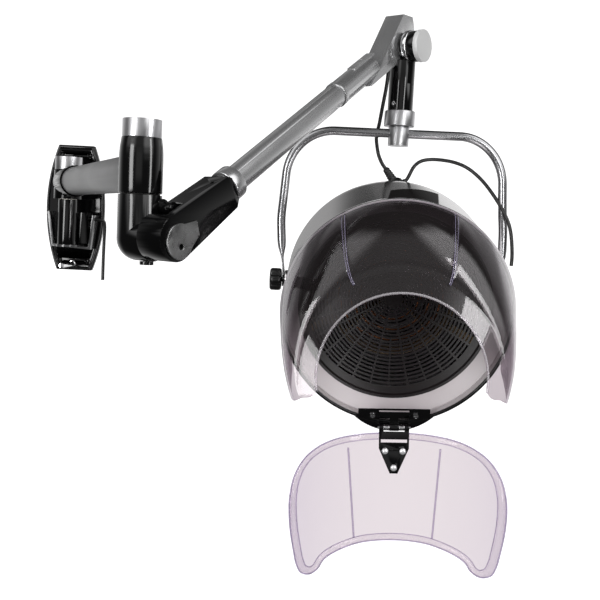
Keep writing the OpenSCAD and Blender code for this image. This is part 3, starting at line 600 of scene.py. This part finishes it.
def visor_grid(rows, across, lift):
    """A skin of the upper visor: its outer face with the two ribs raised, or for a negative lift a plain face
    3 mm under it.
    """
    pts = []
    for v in rows:
        end = legs_end(v) - corner_cut(v)
        for i in range(across + 1):
            deg = end * (2 * i / across - 1)
            q = math.radians(deg)
            rib = 0.0
            if v < 0.74:
                for at in (RIB_LEFT, RIB_RIGHT):
                    rib = max(rib, 1.3 * math.exp(-((deg - at) / 0.8) ** 2))
                rib *= min(1.0, (0.74 - v) / 0.08) * min(1.0, v / 0.05)
            p = visor_point(q, v, 3.0 if lift < 0 else 0.0)
            p += Vector((math.sin(q), math.cos(q), 0.2)) * (rib if lift >= 0 else 0.0)
            pts.append(CLOCK @ (p * MM))
    return pts


def grid_solid(outer, inner, rows, n):
    m = rows * n
    faces = []
    for j in range(rows - 1):
        for i in range(n - 1):
            a = j * n + i
            faces.append((a, a + 1, a + 1 + n, a + n))
            faces.append((m + a + n, m + a + 1 + n, m + a + 1, m + a))
    for i in range(n - 1):
        e = (rows - 1) * n + i
        faces.append((i + 1, i, m + i, m + i + 1))
        faces.append((e, e + 1, m + e + 1, m + e))
    for j in range(rows - 1):
        a, b = j * n, j * n + n - 1
        faces.append((a, a + n, m + a + n, m + a))
        faces.append((b + n, b, m + b, m + b + n))
    return list(outer) + list(inner), faces


V_ROWS = sorted(set([round(k / 60, 4) for k in range(61)] + [0.7]))
ACROSS = 260
upper = add_piece("smoked_visor",
                  *grid_solid(visor_grid(V_ROWS, ACROSS, 0), visor_grid(V_ROWS, ACROSS, -1), len(V_ROWS),
                              ACROSS + 1),
                  "hood", "smoke", ("upper_visor",), "smoke_clear")
sharpen(upper, 50)


def arch_bead():
    """The pale polished lip round the arch and down the legs' fronts."""
    path = []
    end = legs_end(1.0) - 3.5
    for i in range(141):
        q = math.radians(end * (2 * i / 140 - 1))
        path.append(CLOCK @ (visor_point(q, 0.985, 1.5) * MM))
    return path


bead_path = arch_bead()
hood_axis = (CLOCK.to_3x3() @ Vector((0, 0, 1)))
bead = add_piece("visor_lip", *sweep(bead_path, 1.9 * MM, 14, ref=hood_axis), "hood", "smoke_edge", (),
                 "smoke_clear")


rear_path = []
for i in range(161):
    q = math.radians(115.5 * (2 * i / 160 - 1))
    rear_path.append(CLOCK @ (visor_point(q, 0.012, 1.4) * MM))
add_piece("visor_rear_edge", *sweep(rear_path, 1.5 * MM, 12, ref=hood_axis), "hood", "polished_edge", (),
          "smoke_clear")
for side in (-1, 1):
    for wing in (-1, 1):
        rib_path = []
        for k in range(41):
            v = 0.05 + 0.67 * k / 40
            q = math.radians((RIB_LEFT if side < 0 else RIB_RIGHT) + wing * (0.8 - 0.4 * k / 40))
            rib_path.append(CLOCK @ (visor_point(q, v, -0.2) * MM))
        name = "visor_rib_%s_%s" % ("left" if side < 0 else "right", "a" if wing < 0 else "b")
        add_piece(name, *sweep(rib_path, 0.6 * MM, 10, ref=CLOCK.to_3x3() @ Vector((1, 0, 0))), "hood",
                  "rib_edge",
                  (), "smoke_clear")


# ---------------------------------------------------------------- lower visor
HALF_OUTLINE = [(0, 8.8), (28, 9.0), (58, 10.4), (87, 13.6), (113, 21.0), (135, 35.0), (149.5, 58),
                (155.6, 90), (154.6, 130),
                (149.0, 172), (145.5, 190), (139.5, 205), (127.0, 212.6), (115.0, 208.5), (107.8, 198.5),
                (98, 192.0),
                (80, 185.6), (54, 179.6), (27, 177.2), (0, 176.6)]


def outline(inset):
    """Outline of the lower visor, (x, v) in mm, closed, drawn in by so many mm."""
    ring = [Vector(p) for p in HALF_OUTLINE] + [Vector((-x, v)) for x, v in reversed(HALF_OUTLINE[1:-1])]
    n = len(ring)
    pts = []
    for i in range(n):
        a, b, c, d = (ring[(i + k) % n] for k in (-1, 0, 1, 2))
        for k in range(6):
            t = k / 6
            square = (2 * a - 5 * b + 4 * c - d) * t * t
            pts.append(0.5 * (2 * b + (c - a) * t + square + (3 * b - a - 3 * c + d) * t ** 3))
    out = []
    for i, p in enumerate(pts):
        along = (pts[(i + 1) % len(pts)] - pts[i - 1]).normalized()
        out.append((p.x - along.y * inset, p.y + along.x * inset))
    return out


def sheet(outer_ring, inner_ring, radius, step=7.0):
    """Flat region between outlines (or inside one), gridded and bent round the visor's axis."""
    pts = [Vector(p) for p in outer_ring]
    loops = [list(range(len(outer_ring)))]
    if inner_ring:
        base = len(pts)
        pts += [Vector(p) for p in inner_ring]
        loops.append(list(range(base, base + len(inner_ring))))
    else:
        poly = outer_ring
        xs = np.arange(-154, 155, step)
        vs = np.arange(12, 212, step)
        for x in xs:
            for v in vs:
                if inside(poly, x, v, 2.0):
                    pts.append(Vector((x, v)))
    edges = []
    for loop in loops:
        edges += [(loop[i], loop[(i + 1) % len(loop)]) for i in range(len(loop))]
    co, _, faces, *_ = geometry.delaunay_2d_cdt(pts, edges, [], 0, 1e-4)
    keep = []
    for f in faces:
        c = sum((co[i] for i in f), Vector((0, 0))) / len(f)
        if inside(outer_ring, c.x, c.y, 0.0) and not (inner_ring and inside(inner_ring, c.x, c.y, 0.0)):
            keep.append(tuple(f))
    verts = [VISOR @ Vector((p.x * MM, (180 - math.sqrt(radius ** 2 - p.x ** 2)) * MM,
                             p.y * MM)) for p in co]
    return verts, keep


def inside(poly, x, y, margin):
    hit = False
    n = len(poly)
    for i in range(n):
        x1, y1 = poly[i]
        x2, y2 = poly[(i + 1) % n]
        if (y1 > y) != (y2 > y) and x < (x2 - x1) * (y - y1) / (y2 - y1) + x1:
            hit = not hit
        if margin:
            dx, dy = x2 - x1, y2 - y1
            t = max(0.0, min(1.0, ((x - x1) * dx + (y - y1) * dy) / (dx * dx + dy * dy + 1e-9)))
            if (x1 + t * dx - x) ** 2 + (y1 + t * dy - y) ** 2 < margin ** 2:
                return False
    return hit


def clean_loose(obj):
    bm = bmesh.new()
    bm.from_mesh(obj.data)
    loose = [v for v in bm.verts if not v.link_faces]
    bmesh.ops.delete(bm, geom=loose, context="VERTS")
    bm.to_mesh(obj.data)
    bm.free()


ring_out = outline(0.0)
lower = add_piece("clear_visor", *sheet(ring_out, None, 181.5), "visor", "clear", ("lower_visor",), "clear")
clean_loose(lower)
mod = lower.modifiers.new("wall", "SOLIDIFY")
mod.thickness = 3.0 * MM
mod.offset = 0.0
lip = add_piece("clear_visor_lip", *sheet(outline(0.3), outline(9.0), 183.6), "visor", "clear_edge", (),
                "clear")
clean_loose(lip)
mod = lip.modifiers.new("wall", "SOLIDIFY")
mod.thickness = 1.4 * MM
mod.offset = 0.0


def on_visor(x, v, radius):
    return VISOR @ Vector((x * MM, (180 - math.sqrt(radius ** 2 - x ** 2)) * MM, v * MM))


for side in (-1, 1):
    path = [on_visor(side * (70 - 10 * k / 30), 30 + 141 * k / 30, 183.2) for k in range(31)]
    add_piece("clear_visor_rib_%s" % ("left" if side < 0 else "right"),
              *sweep(path, 1.5 * MM, 12, ref=VISOR.to_3x3() @ Vector((0, 1, 0))), "visor", "clear_line", (),
              "clear")
edge_path = [on_visor(x, v, 181.5) for x, v in ring_out]
edge_path.append(edge_path[0].copy())
edge_ref = VISOR.to_3x3() @ Vector((0, 1, 0))
add_piece("clear_visor_edge", *sweep(edge_path, 1.1 * MM, 10, ref=edge_ref), "visor", "clear_line", (),
          "clear")
line_path = [on_visor(x, v, 183.0) for x, v in outline(9.6)]
line_path.append(line_path[0].copy())
add_piece("clear_visor_line", *sweep(line_path, 0.7 * MM, 10, ref=edge_ref), "visor", "clear_line", (),
          "clear")

dome = [(0.01, 2.6), (4.9, 2.6), (5.1, 3.2), (4.9, 4.4), (4.1, 5.5), (2.7, 6.3), (1.2, 6.6), (0.01, 6.7)]
domes = [revolve(dome, VISOR @ move(x, 0, v) @ turn("X", -90), 32, closed=False) for x,
         v in ((-13.5, 36), (13.5, 36), (0, 62))]
sharpen(add_piece("rivet_domes", *merge(*domes), "visor", "rivet", ("hinge_rivets",), "chrome"), 50)


# ---------------------------------------------------------------- yoke
def yoke_path():
    half = [Vector((0, 0, 250))] + [Vector((x, 0, 250)) for x in (30, 60, 85, 107)]
    for k in range(1, 29):
        a = math.radians(90 - 86 * k / 28)
        half.append(Vector((107 + 80 * math.cos(a), 0, 170 + 80 * math.sin(a))))
    p2 = half[-1] + 55 * Vector((math.cos(math.radians(-86)), 0, math.sin(math.radians(-86))))
    c2 = p2 - 150 * Vector((math.cos(math.radians(4)), 0, math.sin(math.radians(4))))
    half += [half[-1] * 0.5 + p2 * 0.5, p2]
    for k in range(1, 9):
        a = math.radians(4 - 12 * k / 8)
        half.append(c2 + 150 * Vector((math.cos(a), 0, math.sin(a))))
    d = Vector((math.cos(math.radians(-98)), 0, math.sin(math.radians(-98))))
    p3 = half[-1]
    half += [p3 + d * s for s in (12, 24, 34, 42, 48, 54, 60, 66)]
    half += [Vector((179, 0, z)) for z in (14, 5, -4, -9, -11.5)]
    def drawn_in(p, amount):
        f = min(1.0, max(0.0, (p.z - 30) / 100))
        return Vector((p.x * (1 - amount * f * f * (3 - 2 * f) / 187), 0, p.z))

    left = [drawn_in(p, 4.5) for p in reversed(half[1:])]
    full = [Vector((-p.x, 0, p.z)) for p in left] + [drawn_in(p, 11.0) for p in half]
    return [YOKE @ (p * MM) for p in full], len(half)


bar, half_len = yoke_path()


def yoke_shape(i):
    """The tube is round down to its ends, which are pressed flat and rounded off."""
    local = YOKE.inverted() @ bar[i]
    z = local.z / MM
    if z > 62:
        return (1.0, 1.0)
    f = min(1.0, (62 - z) / 30.0)
    f = f * f * (3 - 2 * f)
    end = 1.0
    if z < 0:
        end = math.sqrt(max(0.02, 1 - (z / 12.0) ** 2))
    return (1.0 + (2.0 / 7.3 - 1.0) * f, (1.0 + (11.0 / 7.3 - 1.0) * f) * end)


yoke_ref = YOKE.to_3x3() @ Vector((0, 1, 0))
yoke = add_piece("yoke_bow", *sweep(bar, 7.3 * MM, 40, yoke_shape, yoke_ref), "yoke", "chrome_bar",
                 ("yoke_tube",), "chrome")
sharpen(yoke, 45)


# ---------------------------------------------------------------- knobs
def knob(side):
    """A six-lobed clamping knob with its stem, outside one end of the yoke."""
    sides, rows = 144, []
    spec = [(0.0, 200.0, 0.0), (8.6, 198.4, 0.0), (9.4, 198.6, 0.0), (10.2, 200.6, 0.0), (13.0, 201.5, 0.3),
            (15.8, 201.2, 0.7), (17.4, 199.9, 0.9), (18.1, 198.0, 1.0), (18.2, 186.5, 1.0),
            (17.6, 184.0, 0.9),
            (16.0, 182.4, 0.6), (12.0, 181.7, 0.2), (4.0, 181.6, 0.0), (4.0, 170.8, 0.0), (0.0, 170.8, 0.0)]
    for r, x, lobes in spec:
        row = []
        for k in range(sides):
            a = 2 * math.pi * k / sides
            wave = 0.5 + 0.5 * math.cos(6 * a)
            rad = r + lobes * (1.5 * wave ** 0.7 - 1.6 * (1 - wave) ** 3)
            row.append(YOKE @ Vector((side * x * MM, rad * math.cos(a) * MM, rad * math.sin(a) * MM)))
        rows.append(row)
    verts = [v for row in rows for v in row]
    faces = []
    for i in range(len(rows) - 1):
        for k in range(sides):
            j = (k + 1) % sides
            faces.append((i * sides + k, i * sides + j, (i + 1) * sides + j, (i + 1) * sides + k))
    return verts, faces


for side, body in ((-1, "knob_left"), (1, "knob_right")):
    piece = add_piece(body + "_grip", *knob(side), body, "moulded", (body,), "black_gloss")
    sharpen(piece, 40)


# ---------------------------------------------------------------- cables
def frame_points(matrix, points):
    return [matrix @ (Vector(p) * MM) for p in points]


CORD = 3.0 * MM
upper_run = smooth_path(frame_points(HEAD, [(-28, -5.5, -33), (-28, -5.5, -45), (-27, -3, -66),
                                            (-25, 2, -88),
                                            (-20, 8, -105), (-15, 13.5, -120)]))
cable = add_piece("cable_upper", *sweep(upper_run, CORD, 16), None, "rubber", ("head_cable",), "rubber")
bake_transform(cable)
top = HEAD @ (Vector((-15, 13.5, -120)) * MM)
low = HOOD @ (Vector((-32, 216, -68)) * MM)
mid_run = smooth_path([top, HEAD @ (Vector((-13.5, 15.5, -126)) * MM),
                       top * 0.45 + low * 0.55 + Vector((-0.004, 0.004, 0)), low])
cable = add_piece("cable_behind_bar", *sweep(mid_run, CORD, 16), None, "rubber", (), "rubber")
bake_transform(cable)
boot_axis = BOOT @ (turn("Y", -42) @ turn("X", 30))
low_run = smooth_path([low, HOOD @ (Vector((-29.5, 206, -64.5)) * MM),
                       HOOD @ (Vector((-23, 193, -59.5)) * MM),
                       boot_axis @ (Vector((0, 0, 37)) * MM), boot_axis @ (Vector((0, 0, 24)) * MM)])
cable = add_piece("cable_to_hood", *sweep(low_run, CORD, 16), None, "rubber", ("hood_cable",), "rubber")
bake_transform(cable)
outlet = BOOT @ turn("Y", 62)
lamp_run = smooth_path([outlet @ (Vector((0, 0, 12)) * MM), outlet @ (Vector((0, 0, 20)) * MM)]
                       + frame_points(YOKE, [(34, 39, 207), (62, 46, 216), (112, 41, 210), (144, 26, 186),
                                             (168, -1, 150),
                                             (183, -14, 122), (192, -15, 100), (198, -10, 62),
                                             (198, -8, 42)]))
cable = add_piece("cable_side", *sweep(lamp_run, CORD, 16), None, "rubber", ("lamp_cable",), "rubber")
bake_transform(cable)

wall_cord = smooth_path([Vector(p) * MM for p in [(26, -30, -20), (50, -30, -20), (59, -29, -21),
                                                  (60, -26, -34),
                                                  (58, -22, -60), (57, -20, -100), (57, -20, -132)]])
add_piece("wall_cord", *sweep(wall_cord, CORD, 18), "wall", "rubber", ("power_cord",), "rubber")


def boot():
    """Flange, ribbed sleeve for the cable that comes down and a short outlet for the side cable."""
    base = [(0.5, 1.7), (13, 1.7), (13.2, 3.2), (12.4, 5.6), (11.0, 7.6), (9.2, 9.6), (8.2, 11.2),
            (6.0, 12.2), (0.5, 12.6)]
    sleeve = [(0.5, 5), (6.4, 8)]
    z, r = 12.5, 6.5
    for k in range(5):
        sleeve += [(r, z), (r + 0.9 - 0.12 * k, z + 0.6), (r + 0.9 - 0.12 * k, z + 2.2), (r, z + 2.8)]
        z += 4.6
        r -= 0.28
    sleeve += [(4.4, z), (3.4, z + 1.0), (0.5, z + 1.0)]
    short = [(0.5, 5), (4.6, 6), (4.6, 10), (5.2, 10.6), (5.2, 12), (4.4, 12.6), (4.4, 16.5), (3.4, 17.4),
             (0.5, 17.4)]
    return merge(revolve(base, BOOT, 40, closed=False), revolve(sleeve, boot_axis, 32, closed=False),
                 revolve(short, outlet, 28, closed=False))


piece = add_piece("boot", *boot(), "hood", "rubber", ("cable_boot",), "rubber")
sharpen(piece, 50)


seal = [(12.4, 18.7), (24.2, 18.7), (24.6, 19.4), (24.2, 20.3), (12.4, 20.3)]
add_piece("elbow_seal", *revolve(seal, ELBOW, 64), "elbow", "rubber", (), "rubber")
screw = [(0.01, 4), (3.42, 4), (3.42, 10.5), (2.8, 11.2), (0.01, 11.4)]
for n, (x, z) in enumerate([(-26, -98), (26, -98), (-26, 98), (26, 98)]):
    add_piece("wall_screw_%d" % (n + 1), *revolve(screw, move(x, 0, z) @ turn("X", 90), 28, closed=False),
              "wall",
              "moulded", (), "black_metal")


# ---------------------------------------------------------------- spring in the arm
def coil():
    turns, steps = 15, 24
    path = []
    for i in range(turns * steps + 1):
        a = 2 * math.pi * i / steps
        path.append(SPRING @ (Vector((152 + 172 * i / (turns * steps), 11 * math.cos(a),
                                      4 + 11 * math.sin(a))) * MM))
    return sweep(path, 1.6 * MM, 10, ref=SPRING.to_3x3() @ Vector((1, 0, 0)))


add_piece("coil_spring", *coil(), "spring_arm", "steel", ("balance_spring",), "steel")


# ---------------------------------------------------------------- floor, light, camera
def stage_mesh(name, verts, faces):
    mesh = bpy.data.meshes.new(name)
    mesh.from_pydata(verts, [], faces)
    for poly in mesh.polygons:
        poly.use_smooth = True
    obj = bpy.data.objects.new(name, mesh)
    bpy.context.scene.collection.objects.link(obj)
    mat, tree, out = new_material(name)
    shade = tree.nodes.new("ShaderNodeBsdfDiffuse")
    shade.inputs["Color"].default_value = (0.5, 0.5, 0.5, 1)
    glow = tree.nodes.new("ShaderNodeEmission")
    glow.inputs["Strength"].default_value = 0.97
    tree.links.new(mix_color(tree, noise(tree, 0.7, 2.0), (1, 1, 1), (0.985, 0.985, 0.985)),
                   glow.inputs["Color"])
    whole = tree.nodes.new("ShaderNodeAddShader")
    tree.links.new(shade.outputs[0], whole.inputs[0])
    tree.links.new(glow.outputs[0], whole.inputs[1])
    tree.links.new(whole.outputs[0], out.inputs["Surface"])
    mesh.materials.append(mat)
    obj.visible_glossy = False
    obj.visible_diffuse = False
    return obj


FLOOR_Z = -1.45


def backdrop():
    """A pale floor that sweeps up into a pale wall far behind."""
    profile = [(-7.0, 0.0), (5.0, 0.0)]
    for k in range(1, 25):
        a = math.pi / 2 * k / 24
        profile.append((5.0 + 3.0 * math.sin(a), 3.0 - 3.0 * math.cos(a)))
    profile.append((8.0, 9.0))
    verts = [(x, y, FLOOR_Z + z) for y, z in profile for x in (-14.0, 14.0)]
    faces = [(2 * i, 2 * i + 1, 2 * i + 3, 2 * i + 2) for i in range(len(profile) - 1)]
    return verts, faces


stage_mesh("backdrop", *backdrop())


def soft_band(tree, value, low, high, soft):
    """1 between low and high, fading over soft."""
    return math_node(tree, "MULTIPLY", soft_step(tree, value, low - soft, low + soft),
                     soft_step(tree, value, high + soft, high - soft))


def studio_world():
    """White room behind and above, grey in front, with tall soft boxes to either side of the camera."""
    world = bpy.data.worlds.new("studio")
    bpy.context.scene.world = world
    world.use_nodes = True
    tree = world.node_tree
    tree.nodes.clear()
    out = tree.nodes.new("ShaderNodeOutputWorld")
    coord = tree.nodes.new("ShaderNodeTexCoord")
    split = tree.nodes.new("ShaderNodeSeparateXYZ")
    tree.links.new(coord.outputs["Generated"], split.inputs[0])
    x, y, z = split.outputs
    azimuth = math_node(tree, "MULTIPLY", math_node(tree, "ARCTAN2", x,
                                                    math_node(tree, "MULTIPLY", y, -1.0)), 180 / math.pi)
    height = math_node(tree, "MULTIPLY", math_node(tree, "ARCSINE", z), 180 / math.pi)
    total = None
    for az0, az1, el0, el1, soft, power in BANDS:
        band = math_node(tree, "MULTIPLY", soft_band(tree, azimuth, az0, az1, soft),
                         soft_band(tree, height, el0, el1, soft))
        band = math_node(tree, "MULTIPLY", band, power)
        total = band if total is None else math_node(tree, "ADD", total, band)
    behind = soft_step(tree, y, 0.15, 0.8)
    low = soft_step(tree, height, 70.0, 20.0)
    gap = soft_band(tree, height, 16.5, 34.0, 3.0)
    low = math_node(tree, "MULTIPLY", low, math_node(tree, "SUBTRACT", 1.0,
                                                     math_node(tree, "MULTIPLY", gap, 0.93)))
    dusk = soft_band(tree, azimuth, -181.0, -162.0, 2.5)
    low = math_node(tree, "MULTIPLY", low, math_node(tree, "SUBTRACT", 1.0,
                                                     math_node(tree, "MULTIPLY", dusk, 0.6)))
    rear = math_node(tree, "MULTIPLY", math_node(tree, "MULTIPLY", behind, low), REAR_LEVEL)
    total = math_node(tree, "ADD", math_node(tree, "ADD", total, rear), FRONT_LEVEL)
    up = math_node(tree, "MAXIMUM", z, 0.02)
    panel_x = math_node(tree, "DIVIDE", x, up)
    panel_y = math_node(tree, "DIVIDE", y, up)
    reach = math_node(tree, "ADD", math_node(tree, "MULTIPLY", panel_x, 2.3), 0.85)
    panel = math_node(tree, "MULTIPLY", soft_band(tree, panel_x, 0.0, 0.78, 0.02),
                      math_node(tree, "MULTIPLY", soft_step(tree, panel_y, 0.18, 0.26),
                                soft_step(tree, math_node(tree, "SUBTRACT", panel_y, reach), 0.06, 0.0)))
    total = math_node(tree, "MULTIPLY", total,
                      math_node(tree, "SUBTRACT", 1.0, math_node(tree, "MULTIPLY", panel, 0.97)))
    ray = tree.nodes.new("ShaderNodeLightPath")
    glossy = tree.nodes.new("ShaderNodeBackground")
    tree.links.new(total, glossy.inputs["Strength"])
    plain = tree.nodes.new("ShaderNodeBackground")
    plain.inputs["Color"].default_value = (1, 1, 1, 1)
    plain.inputs["Strength"].default_value = 1.0
    soft_light = tree.nodes.new("ShaderNodeBackground")
    tree.links.new(math_node(tree, "MULTIPLY", total, 0.8), soft_light.inputs["Strength"])
    a = tree.nodes.new("ShaderNodeMixShader")
    tree.links.new(ray.outputs["Is Diffuse Ray"], a.inputs["Fac"])
    tree.links.new(glossy.outputs[0], a.inputs[1])
    tree.links.new(soft_light.outputs[0], a.inputs[2])
    b = tree.nodes.new("ShaderNodeMixShader")
    tree.links.new(ray.outputs["Is Camera Ray"], b.inputs["Fac"])
    tree.links.new(a.outputs[0], b.inputs[1])
    tree.links.new(plain.outputs[0], b.inputs[2])
    tree.links.new(b.outputs[0], out.inputs["Surface"])


FRONT_LEVEL, REAR_LEVEL = 0.06, 1.0
BANDS = [
    (-75, -24, 14, 62, 9.0, 1.9),
    (24, 75, 12, 66, 9.0, 3.0),
    (-24, 24, 14, 60, 9.0, 0.4),
    (-16, 16, -14, 12, 6.0, 0.5),
    (95, 150, -30, 40, 12.0, 0.5),
    (-150, -100, -30, 30, 12.0, 0.25),
]
studio_world()


def area(name, loc, target, size, radiance, seen=True):
    light = bpy.data.lights.new(name, "AREA")
    light.shape = "RECTANGLE"
    light.size, light.size_y = size
    light.energy = radiance * math.pi * size[0] * size[1]
    obj = bpy.data.objects.new(name, light)
    bpy.context.scene.collection.objects.link(obj)
    obj.location = loc
    obj.rotation_euler = (Vector(target) - Vector(loc)).to_track_quat("-Z", "Y").to_euler()
    obj.visible_glossy = seen
    return obj


area("left_box", (-1.5, -2.6, -0.05), (0.4, -0.3, -0.05), (0.9, 1.9), 9.0)
area("right_box", (0.95, -0.95, 0.0), (0.35, -0.3, 0.0), (0.13, 0.85), 9.0)
area("top_box", (0.3, -1.2, 2.4), (0.4, -0.3, 0.0), (1.2, 1.2), 2.5, seen=False)


def photo_camera():
    cam = bpy.data.cameras.new("camera")
    cam.lens = 51.0
    cam.sensor_width = 36.0
    cam.clip_start, cam.clip_end = 0.01, 100.0
    obj = bpy.data.objects.new("camera", cam)
    bpy.context.scene.collection.objects.link(obj)
    pitch, roll = math.radians(5.3), math.radians(2.8)
    forward = Vector((0, math.cos(pitch), -math.sin(pitch)))
    up0 = Vector((0, math.sin(pitch), math.cos(pitch)))
    right0 = Vector((1, 0, 0))
    cam_x = right0 * math.cos(roll) + up0 * math.sin(roll)
    cam_y = -right0 * math.sin(roll) + up0 * math.cos(roll)
    basis = Matrix((cam_x, cam_y, -forward)).transposed().to_4x4()
    obj.matrix_world = Matrix.Translation((0.4288, -1.6107, -0.0039)) @ basis
    bpy.context.scene.camera = obj


photo_camera()
scene = bpy.context.scene
scene.view_settings.view_transform = "Standard"
scene.view_settings.look = "None"
scene.view_settings.exposure = 0.0
